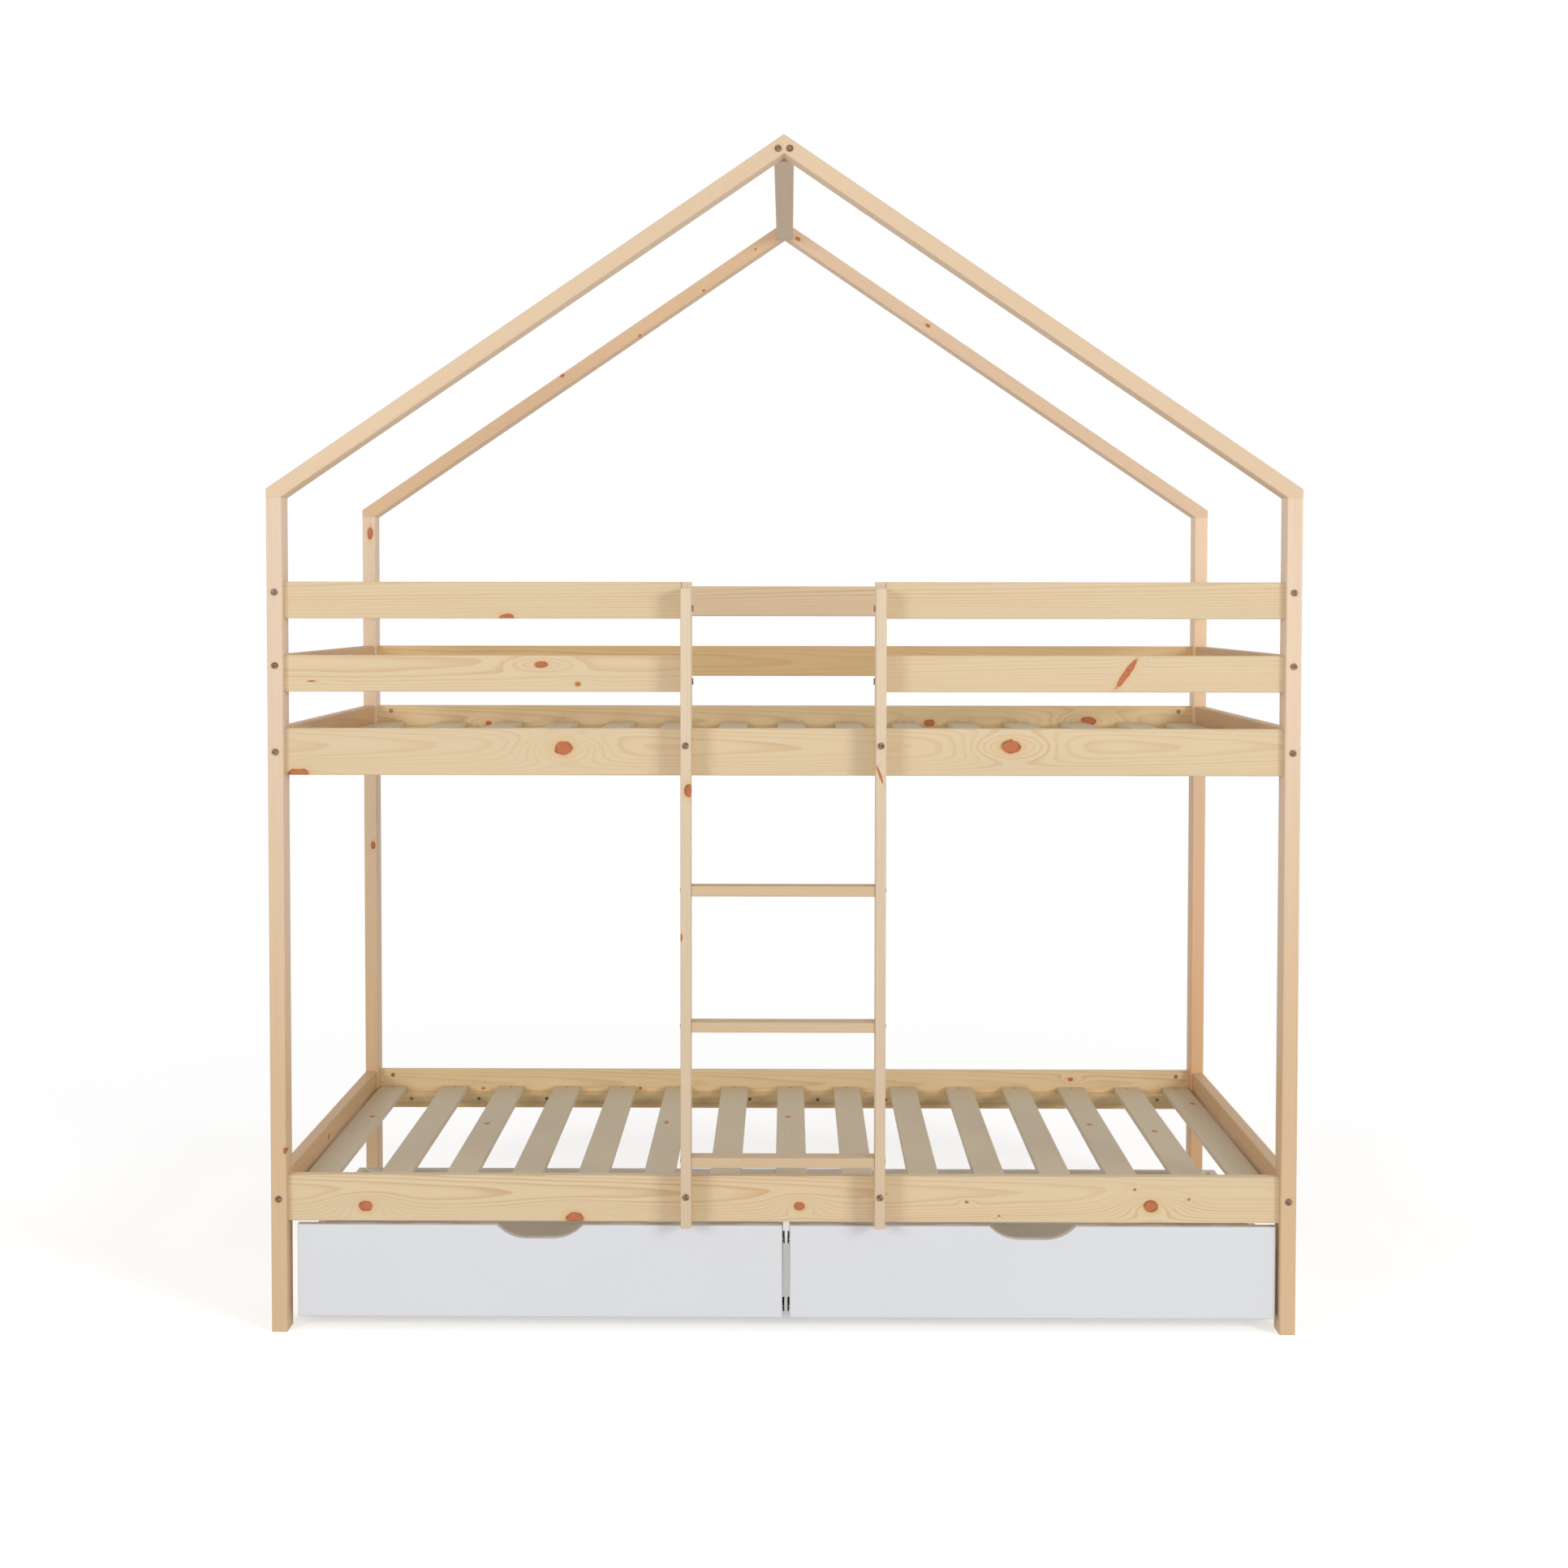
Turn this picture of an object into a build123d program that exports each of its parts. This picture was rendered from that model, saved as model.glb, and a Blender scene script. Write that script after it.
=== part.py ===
import os
from collections import defaultdict, namedtuple
from math import acos, atan2, cos, hypot, sin, tan

from build123d import *

os.makedirs("parts", exist_ok=True)

# House bunk bed: four posts carry two slatted beds, guard rails and a roof frame.
# Millimetres. X runs along the bed, Y from front to back, Z up from the floor.
# The pieces are drawn about the middle of the four posts, and written with the origin
# on the floor under the middle of the whole outline, ladder and bolt heads included.

# Overall size
bed_length = 1970.0
bed_depth = 980.0
roof_height = 2290.0

# Posts and roof timber
post_width = 30.0
post_depth = 52.0
post_height = 1606.0
rafter_thick = 30.0
ridge_width = 38.0
ridge_height = 28.0
ridge_drop = 5.0  # underside of the ridge beam below the rafters' inner meeting point

# Boards
rail_thick = 20.0
rail_setback = 12.0  # rail face behind the post face
end_thick = 24.0
bed_board_height = 90.0
guard_height = 70.0
guard_gap = 70.0
lower_board_bottom = 213.0
upper_board_bottom = 1075.0
edge_round = 2.5

# Slats and the cleats under their ends
slat_width = 62.0
slat_thick = 12.0
slat_drop = 38.0  # slat top below the top of the bed rails
slat_play = 2.0  # free space at each slat end
slat_pitch = 132.0
inner_slat_count = 13
inner_slat_shift = 16.0
cleat_depth = 20.0
cleat_height = 22.0
cleat_play = 8.0
cleat_screw_count = 12
cleat_screw_margin = 78.0
cleat_screw_height = 8.0

# Ladder
ladder_clear = 350.0
stile_thick = 20.0
stile_depth = 45.0
stile_short = 12.0  # stile top below the top guard rail
rung_thick = 20.0
rung_depth = 38.0
rung_setback = 4.0
low_rung_top = 348.0
rung_pitch = 260.0
rung_count = 3
stile_bolt_drop = 30.0

# Drawers
drawer_width = 936.0
drawer_gap = 14.0
drawer_shift = 6.0
drawer_depth = 600.0
drawer_floor_gap = 26.0
drawer_front_height = 180.0
drawer_front_thick = 16.0
drawer_wall_height = 132.0
drawer_wall_thick = 15.0
drawer_bottom_thick = 4.0
drawer_bottom_lift = 8.0
groove_depth = 5.0
groove_play = 0.2
grip_width = 167.0
grip_depth = 26.0
grip_corner = 80.0
front_round = 3.0

# Castors
wheel_radius = 11.0
wheel_width = 14.0
wheel_round = 1.5
axle_radius = 2.0
running_fit = 0.05
castor_plate_thick = 3.0
castor_plate_length = 44.0
castor_cheek_thick = 3.0
castor_side_play = 1.0
castor_overhang = 4.0  # castor past the outer face of the drawer side
castor_inset_front = 90.0  # far enough back that the front hides the wheels
castor_inset_rear = 44.0
castor_screw_reach = 16.0
castor_screw_edge = 5.0
castor_cheek_foot = 5.0  # half width of a cheek below the axle, and its depth there

# Bolts, barrel nuts, dowels and screws
bolt_radius = 3.0
bolt_head_radius = 6.25
bolt_head_height = 2.5
bolt_head_round = 1.0
bolt_hole_play = 0.25
bolt_tail = 8.0  # bolt past the middle of its nut
socket_radius = 2.3
socket_depth = 1.6
nut_radius = 4.95
nut_length = 14.0
nut_inset = 31.0
nut_play = 0.05
nut_slot_width = 1.2
nut_slot_depth = 1.0
flange_nut_height = 4.0
bed_bolt_edge = 13.0
guard_bolt_edge = 20.0
dowel_radius = 4.0
dowel_length = 30.0
dowel_chamfer = 0.8
dowel_in_post = 10.0
dowel_play = 0.05
bed_dowel_spread = 28.0
roof_dowel_spread = 15.0
tip_room = 1.0

# Screws: shank radius, head radius, head height and length
Screw = namedtuple("Screw", "radius head_radius head_height length")
ridge_screw = Screw(3.0, 6.5, 2.5, 90.0)
foot_screw = Screw(2.5, 4.5, 2.0, 60.0)
rung_screw = Screw(2.5, 5.0, 1.5, 60.0)
upright_screw = Screw(2.0, 4.0, 1.5, 45.0)
cleat_screw = Screw(2.0, 4.0, 1.5, 35.0)
slat_screw = Screw(1.75, 3.5, 2.0, 20.0)
castor_screw = Screw(1.75, 3.0, 1.2, 16.0)
corner_screw = Screw(2.0, 4.0, 1.5, 40.0)
screw_play = 0.05
screw_flat_share = 0.8  # flat part of a head's radius
screw_rim_share = 0.5  # upright part of a head's height
ridge_screw_spread = 11.0
corner_screw_low = 57.0
corner_screw_drop = 31.0
foot_screw_sink = 8.0

# Places worked out from the sizes above
half_length = bed_length / 2
half_depth = bed_depth / 2
rail_end = half_length - post_width
end_end = half_depth - post_depth
rail_face = half_depth - rail_setback
rail_middle = rail_face - rail_thick / 2
rail_inner = rail_face - rail_thick
end_middle = half_length - end_thick / 2
bolt_line = half_length - post_width / 2
mid_guard_bottom = upper_board_bottom + bed_board_height + guard_gap
top_guard_bottom = mid_guard_bottom + guard_height + guard_gap
guard_top = top_guard_bottom + guard_height

rise = roof_height - post_height
run = half_length - post_width
roof_slope = acos(rafter_thick / hypot(rise, run)) - atan2(run, rise)
rafter_drop = rafter_thick / cos(roof_slope)
rafter_heel = rafter_drop - post_width * tan(roof_slope)
ridge_bottom = roof_height - rafter_drop - ridge_drop
ridge_middle = ridge_bottom + ridge_height / 2

stile_inner = ladder_clear / 2
stile_outer = stile_inner + stile_thick
stile_front = rail_face + stile_depth
stile_top = guard_top - stile_short
rung_middle = rung_setback + rung_depth / 2 - stile_front

outline_centre = Location((0, (stile_front - half_depth) / 2, 0))

east = Vector(1, 0, 0)
north = Vector(0, 1, 0)
up = Vector(0, 0, 1)
sides = {"left": -1, "right": 1}
faces = {"front": -1, "rear": 1}

# What the joints ask for: bores for each board, and the hardware to make
Bore = namedtuple("Bore", "start direction radius depth")
bores = defaultdict(list)
bolts = []
barrel_nuts = []
flange_nuts = []
dowels = []
frame_screws = []


def finish(part, node):
    # Moves a finished piece to the frame of the whole bed, names it and writes its file.
    placed = part.moved(outline_centre)
    placed.label = node
    export_step(placed, f"parts/{node}.step")


def bolt_joint(post, board, seat, inward, grip, nut_side, nut_depth):
    # A bolt through a post into the end grain of a board, held by a barrel nut.
    joint_face = seat + inward * grip
    nut_centre = joint_face + inward * nut_inset
    hole = bolt_radius + bolt_hole_play
    bores[post].append(Bore(seat, inward, hole, grip))
    bores[board].append(Bore(joint_face, inward, hole, nut_inset + bolt_tail + tip_room))
    mouth = nut_centre + nut_side * nut_depth
    bores[board].append(Bore(mouth, -nut_side, nut_radius + nut_play, nut_depth + nut_length / 2))
    bolts.append((seat, inward, grip + nut_inset + bolt_tail))
    barrel_nuts.append((nut_centre, nut_side, inward))


def dowel_joint(post, board, joint_face, inward, in_post):
    # A glued dowel across the joint between a post and a board.
    hole = dowel_radius + dowel_play
    bores[post].append(Bore(joint_face, -inward, hole, in_post + tip_room))
    bores[board].append(Bore(joint_face, inward, hole, dowel_length - in_post + tip_room))
    dowels.append((joint_face - inward * in_post, inward))


def screw_joint(first, second, kind, seat, direction, grip, sink, group):
    # A screw through one piece into another, its head sunk below the seat.
    hole = kind.radius + screw_play
    start = seat + direction * sink
    if sink > 0:
        bores[first].append(Bore(seat, direction, kind.head_radius + bolt_hole_play, sink))
    bores[first].append(Bore(start, direction, hole, grip - sink))
    reach = kind.length - grip + sink + tip_room
    bores[second].append(Bore(seat + direction * grip, direction, hole, reach))
    group.append((kind, start, direction))


def cut_bores(node):
    # Drills every bore that the joints asked of this piece, inside its own block.
    from_mouth = (Align.CENTER, Align.CENTER, Align.MIN)
    for bore in bores[node]:
        with Locations(Plane(bore.start, z_dir=bore.direction)):
            Cylinder(bore.radius, bore.depth, align=from_mouth, mode=Mode.SUBTRACT)


def make_board(node, low, high, along, rounding=edge_round):
    # A straight planed board between two corners, its long edges rounded, with its bores.
    size = high - low
    middle = (low + high) * 0.5
    if along == "X":
        section = Plane.YZ.offset(low.X)
        place, width, height, length = (middle.Y, middle.Z), size.Y, size.Z, size.X
    elif along == "Y":
        section = Plane.XZ.offset(-high.Y)
        place, width, height, length = (middle.X, middle.Z), size.X, size.Z, size.Y
    else:
        section = Plane.XY.offset(low.Z)
        place, width, height, length = (middle.X, middle.Y), size.X, size.Y, size.Z
    with BuildPart() as board:
        with BuildSketch(section):
            with Locations(place):
                RectangleRounded(width, height, rounding)
        extrude(amount=length)
        cut_bores(node)
    finish(board.part, node)


def rail_joints(node, end, face, bottom, height, post=None):
    # The bolts and dowels at one end of a long rail; end is -1 at the left and 1 at the right.
    middle = face * rail_middle
    post = post or f"post_{'front' if face < 0 else 'rear'}_{'left' if end < 0 else 'right'}"
    bolt_heights = [bottom + guard_bolt_edge]
    if height == bed_board_height:
        bolt_heights = [bottom + bed_bolt_edge, bottom + height - bed_bolt_edge]
    for z in bolt_heights:
        seat = Vector(end * half_length, middle, z)
        bolt_joint(post, node, seat, east * -end, post_width, north * -face, rail_thick / 2)
    if height == guard_height:
        joint_face = Vector(end * rail_end, middle, bottom + height - guard_bolt_edge)
        dowel_joint(post, node, joint_face, east * -end, dowel_in_post)


def end_joints(node, side, bottom, height):
    # The bolt and dowels at both ends of a cross board between a front and a rear post.
    side_name = "left" if side < 0 else "right"
    for face_name, face in faces.items():
        post = f"post_{face_name}_{side_name}"
        bolt_z = bottom + height - guard_bolt_edge
        dowel_heights = [bottom + guard_bolt_edge]
        if height == bed_board_height:
            bolt_z = bottom + height / 2
            dowel_heights = [bolt_z - bed_dowel_spread, bolt_z + bed_dowel_spread]
        seat = Vector(side * bolt_line, face * half_depth, bolt_z)
        nut_depth = half_length - bolt_line
        bolt_joint(post, node, seat, north * -face, post_depth, east * side, nut_depth)
        for z in dowel_heights:
            joint_face = Vector(side * end_middle, face * end_end, z)
            dowel_joint(post, node, joint_face, north * -face, dowel_in_post)


def upright_joint(node, upright, side, bottom):
    # The bolt and dowel where a front guard rail meets its upright beside the ladder.
    seat = Vector(side * stile_inner, -rail_middle, bottom + guard_bolt_edge)
    bolt_joint(upright, node, seat, east * side, stile_thick, north, rail_thick / 2)
    joint_face = Vector(side * stile_outer, -rail_middle, bottom + guard_height - guard_bolt_edge)
    dowel_joint(upright, node, joint_face, east * side, dowel_in_post)


# Long rails: name, face, bottom and height
long_rails = []
for face_name, face in faces.items():
    long_rails.append((f"lower_rail_{face_name}", face, lower_board_bottom, bed_board_height))
    long_rails.append((f"upper_rail_{face_name}", face, upper_board_bottom, bed_board_height))
long_rails.append(("guard_rear_mid", 1, mid_guard_bottom, guard_height))
long_rails.append(("guard_rear_top", 1, top_guard_bottom, guard_height))
for node, face, bottom, height in long_rails:
    for end in sides.values():
        rail_joints(node, end, face, bottom, height)

# Short guard rails between a front post and the upright beside the ladder
short_rails = []
for side_name, side in sides.items():
    short_rails.append((f"guard_front_{side_name}_mid", side_name, side, mid_guard_bottom))
    short_rails.append((f"guard_front_{side_name}_top", side_name, side, top_guard_bottom))
for node, side_name, side, bottom in short_rails:
    rail_joints(node, side, -1, bottom, guard_height)
    upright_joint(node, f"guard_upright_{side_name}", side, bottom)

# Cross boards at the two ends of the bed
cross_boards = []
for side_name, side in sides.items():
    cross_boards.append((f"lower_end_{side_name}", side, lower_board_bottom, bed_board_height))
    cross_boards.append((f"upper_end_{side_name}", side, upper_board_bottom, bed_board_height))
    cross_boards.append((f"guard_end_{side_name}_mid", side, mid_guard_bottom, guard_height))
    cross_boards.append((f"guard_end_{side_name}_top", side, top_guard_bottom, guard_height))
for node, side, bottom, height in cross_boards:
    end_joints(node, side, bottom, height)

# Ladder fixings: bolts through the stiles and the front rails, screws into rungs and uprights
rung_tops = [low_rung_top + rung_pitch * k for k in range(rung_count)]
for side_name, side in sides.items():
    stile = f"ladder_stile_{side_name}"
    upright = f"guard_upright_{side_name}"
    stile_middle = side * (stile_inner + stile_thick / 2)
    for level, bottom in (("lower", lower_board_bottom), ("upper", upper_board_bottom)):
        bolt_z = bottom + bed_board_height - stile_bolt_drop
        seat = Vector(stile_middle, -stile_front, bolt_z)
        hole = bolt_radius + bolt_hole_play
        bores[stile].append(Bore(seat, north, hole, stile_depth))
        bores[f"{level}_rail_front"].append(Bore(seat + north * stile_depth, north, hole, rail_thick))
        bolts.append((seat, north, stile_depth + rail_thick + flange_nut_height))
        flange_nuts.append(Vector(stile_middle, -rail_inner, bolt_z))
    for z in (mid_guard_bottom - guard_gap / 2, top_guard_bottom - guard_gap / 2):
        seat = Vector(stile_middle, -rail_inner, z)
        screw_joint(upright, stile, upright_screw, seat, -north, rail_thick, 0, frame_screws)
    for k, top in enumerate(rung_tops):
        seat = Vector(side * stile_outer, rung_middle, top - rung_thick / 2)
        screw_joint(stile, f"rung_{k}", rung_screw, seat, east * -side, stile_thick, 0, frame_screws)

# Roof fixings: dowels and a screw at each rafter foot, two screws at each end of the ridge beam
for face_name, face in faces.items():
    for side_name, side in sides.items():
        rafter = f"rafter_{face_name}_{side_name}"
        post = f"post_{face_name}_{side_name}"
        foot = Vector(side * bolt_line, face * (half_depth - post_depth / 2), post_height)
        for shift in (-roof_dowel_spread, roof_dowel_spread):
            dowel_joint(post, rafter, foot + north * shift, up, dowel_length - rafter_heel)
        foot_cover = rafter_heel + (half_length - bolt_line) * tan(roof_slope)
        seat = foot + up * foot_cover
        screw_joint(rafter, post, foot_screw, seat, -up, foot_cover, foot_screw_sink, frame_screws)
        seat = Vector(side * ridge_screw_spread, face * half_depth, ridge_middle)
        inward = north * -face
        screw_joint(rafter, "ridge_beam", ridge_screw, seat, inward, post_depth, 0, frame_screws)

# Slats at both levels: the two end slats close the row, the inner ones keep their pitch
slat_end = rail_end - slat_play - slat_width / 2
inner_half = (inner_slat_count - 1) / 2
slat_places = [-slat_end]
slat_places += [inner_slat_shift + slat_pitch * (k - inner_half) for k in range(inner_slat_count)]
slat_places += [slat_end]
cleat_half = rail_end - cleat_play
cleat_inner = rail_inner - cleat_depth
cleat_reach = rail_end - cleat_screw_margin
cleat_step = 2 * cleat_reach / (cleat_screw_count - 1)
for level, bottom in (("lower", lower_board_bottom), ("upper", upper_board_bottom)):
    slat_top = bottom + bed_board_height - slat_drop
    cleat_top = slat_top - slat_thick
    for face_name, face in faces.items():
        cleat = f"{level}_cleat_{face_name}"
        rail = f"{level}_rail_{face_name}"
        for k in range(cleat_screw_count):
            z = cleat_top - cleat_height + cleat_screw_height
            seat = Vector(-cleat_reach + cleat_step * k, face * cleat_inner, z)
            screw_joint(cleat, rail, cleat_screw, seat, north * face, cleat_depth, 0, frame_screws)
        for k, x in enumerate(slat_places):
            seat = Vector(x, face * (rail_inner - cleat_depth / 2), slat_top)
            sink = slat_screw.head_height
            screw_joint(f"{level}_slat_{k}", cleat, slat_screw, seat, -up, slat_thick, sink, frame_screws)

# Posts
for face_name, face in faces.items():
    for side_name, side in sides.items():
        x_faces = sorted((side * half_length, side * rail_end))
        y_faces = sorted((face * half_depth, face * end_end))
        low = Vector(x_faces[0], y_faces[0], 0)
        high = Vector(x_faces[1], y_faces[1], post_height)
        make_board(f"post_{face_name}_{side_name}", low, high, "Z")

# Long rails, short guard rails and cross boards
for node, face, bottom, height in long_rails:
    low = Vector(-rail_end, face * rail_middle - rail_thick / 2, bottom)
    high = Vector(rail_end, face * rail_middle + rail_thick / 2, bottom + height)
    make_board(node, low, high, "X")
for node, side_name, side, bottom in short_rails:
    x_faces = sorted((side * rail_end, side * stile_outer))
    low = Vector(x_faces[0], -rail_face, bottom)
    high = Vector(x_faces[1], -rail_inner, bottom + guard_height)
    make_board(node, low, high, "X")
for node, side, bottom, height in cross_boards:
    low = Vector(side * end_middle - end_thick / 2, -end_end, bottom)
    high = Vector(side * end_middle + end_thick / 2, end_end, bottom + height)
    make_board(node, low, high, "Y")

# Uprights on the upper rail, and the ladder stiles in front of the rails
for side_name, side in sides.items():
    x_faces = sorted((side * stile_inner, side * stile_outer))
    low = Vector(x_faces[0], -rail_face, upper_board_bottom + bed_board_height)
    high = Vector(x_faces[1], -rail_inner, guard_top)
    make_board(f"guard_upright_{side_name}", low, high, "Z")
    low = Vector(x_faces[0], -stile_front, lower_board_bottom)
    high = Vector(x_faces[1], -rail_face, stile_top)
    make_board(f"ladder_stile_{side_name}", low, high, "Z")

# Rungs between the stiles
with BuildPart() as ladder_rungs:
    for k, top in enumerate(rung_tops):
        with BuildSketch(Plane.YZ.offset(-stile_inner)):
            with Locations((rung_middle, top - rung_thick / 2)):
                RectangleRounded(rung_depth, rung_thick, edge_round)
        extrude(amount=ladder_clear)
        cut_bores(f"rung_{k}")
finish(ladder_rungs.part, "ladder_rungs")

# Rafters: a plumb heel, a level seat on the post and a mitre at the ridge
slope_line = Axis((0, 0, 0), (cos(roof_slope), 0, -sin(roof_slope)))
for face_name, face in faces.items():
    for side_name, side in sides.items():
        with BuildPart() as rafter:
            with BuildSketch(Plane.XZ.offset(-max(face * half_depth, face * end_end))):
                with BuildLine():
                    Polyline(
                        (0, roof_height),
                        (half_length, post_height + rafter_heel),
                        (half_length, post_height),
                        (rail_end, post_height),
                        (0, roof_height - rafter_drop),
                        close=True,
                    )
                make_face()
            extrude(amount=post_depth)
            fillet(rafter.edges().filter_by(slope_line), edge_round)
            if side < 0:
                mirror(about=Plane.YZ, mode=Mode.REPLACE)
            cut_bores(f"rafter_{face_name}_{side_name}")
        finish(rafter.part, f"rafter_{face_name}_{side_name}")

# Ridge beam between the two gables
low = Vector(-ridge_width / 2, -end_end, ridge_bottom)
high = Vector(ridge_width / 2, end_end, ridge_bottom + ridge_height)
make_board("ridge_beam", low, high, "Y")

# Slats and cleats
for level, bottom in (("lower", lower_board_bottom), ("upper", upper_board_bottom)):
    slat_top = bottom + bed_board_height - slat_drop
    slat_half = rail_inner - slat_play
    with BuildPart() as slats:
        for k, x in enumerate(slat_places):
            with BuildSketch(Plane.XZ.offset(-slat_half)):
                with Locations((x, slat_top - slat_thick / 2)):
                    RectangleRounded(slat_width, slat_thick, edge_round)
            extrude(amount=2 * slat_half)
            cut_bores(f"{level}_slat_{k}")
    finish(slats.part, f"{level}_slats")
    cleat_top = slat_top - slat_thick
    with BuildPart() as cleats:
        for face_name, face in faces.items():
            with BuildSketch(Plane.YZ.offset(-cleat_half)):
                with Locations((face * (rail_inner - cleat_depth / 2), cleat_top - cleat_height / 2)):
                    Rectangle(cleat_depth, cleat_height)
            extrude(amount=2 * cleat_half)
            cut_bores(f"{level}_cleat_{face_name}")
    finish(cleats.part, f"{level}_cleats")

# Bolts: a flat round head with a hex socket on a plain shank, one pattern for each length
with BuildPart() as frame_bolts:
    for length in sorted({bolt[2] for bolt in bolts}):
        with BuildPart(mode=Mode.PRIVATE) as bolt_pattern:
            with BuildSketch():
                Circle(bolt_radius)
            extrude(amount=length)
            with BuildSketch():
                Circle(bolt_head_radius)
            extrude(amount=-bolt_head_height)
            fillet(bolt_pattern.edges().group_by(Axis.Z)[0], bolt_head_round)
            with BuildSketch(Plane.XY.offset(-bolt_head_height)):
                RegularPolygon(socket_radius, 6)
            extrude(amount=socket_depth, mode=Mode.SUBTRACT)
        places = [Plane(seat, z_dir=way) for seat, way, reach in bolts if reach == length]
        with Locations(*places):
            add(bolt_pattern.part)
finish(frame_bolts.part, "frame_bolts")

# Barrel nuts with a cross hole and a screwdriver slot, and flange nuts behind the front rails
with BuildPart() as nuts:
    with BuildPart(mode=Mode.PRIVATE) as nut_pattern:
        with BuildSketch(Plane.XY.offset(-nut_length / 2)):
            Circle(nut_radius)
        extrude(amount=nut_length)
        with BuildSketch(Plane.YZ.offset(-nut_radius)):
            Circle(bolt_radius + nut_play)
        extrude(amount=2 * nut_radius, mode=Mode.SUBTRACT)
        with BuildSketch(Plane.XY.offset(nut_length / 2)):
            Rectangle(2 * nut_radius, nut_slot_width)
        extrude(amount=-nut_slot_depth, mode=Mode.SUBTRACT)
    with Locations(*[Plane(centre, x_dir=way, z_dir=out) for centre, out, way in barrel_nuts]):
        add(nut_pattern.part)
    for seat in flange_nuts:
        with BuildSketch(Plane(seat, z_dir=north)):
            Circle(bolt_head_radius)
            Circle(bolt_radius + nut_play, mode=Mode.SUBTRACT)
        extrude(amount=flange_nut_height)
finish(nuts.part, "barrel_nuts")

# Dowels
with BuildPart() as wood_dowels:
    with BuildPart(mode=Mode.PRIVATE) as dowel_pattern:
        with BuildSketch():
            Circle(dowel_radius)
        extrude(amount=dowel_length)
        chamfer(dowel_pattern.edges().filter_by(GeomType.CIRCLE), dowel_chamfer)
    with Locations(*[Plane(start, z_dir=way) for start, way in dowels]):
        add(dowel_pattern.part)
finish(wood_dowels.part, "dowels")


def make_screws(group, node):
    # All screws of one group, one pattern for each kind: round head, shank and short point.
    with BuildPart() as screws:
        for kind in sorted({screw[0] for screw in group}):
            with BuildPart(mode=Mode.PRIVATE) as pattern:
                with BuildSketch(Plane.XZ):
                    with BuildLine():
                        Polyline(
                            (0, -kind.head_height),
                            (kind.head_radius * screw_flat_share, -kind.head_height),
                            (kind.head_radius, -kind.head_height * screw_rim_share),
                            (kind.head_radius, 0),
                            (kind.radius, 0),
                            (kind.radius, kind.length - 2 * kind.radius),
                            (0, kind.length),
                            close=True,
                        )
                    make_face()
                revolve(axis=Axis.Z)
            with Locations(*[Plane(seat, z_dir=way) for form, seat, way in group if form == kind]):
                add(pattern.part)
    finish(screws.part, node)


make_screws(frame_screws, "frame_screws")

# Drawers on castors
drawer_front_y = -rail_face
wall_front_y = drawer_front_y + drawer_front_thick
drawer_back_y = drawer_front_y + drawer_depth
wall_bottom = drawer_floor_gap
wall_top = wall_bottom + drawer_wall_height
bottom_z = wall_bottom + drawer_bottom_lift
front_top = drawer_floor_gap + drawer_front_height
castor_width = wheel_width + 2 * (castor_side_play + castor_cheek_thick)
grip_reach = (2 * grip_corner * grip_depth - grip_depth**2) ** 0.5  # width of one corner's arc
grip_full_width = grip_width + 2 * (grip_corner - grip_reach)
grip_full_height = 3 * grip_corner
castor_rows = {
    "front": wall_front_y + castor_inset_front,
    "rear": drawer_back_y - castor_inset_rear,
}

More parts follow.
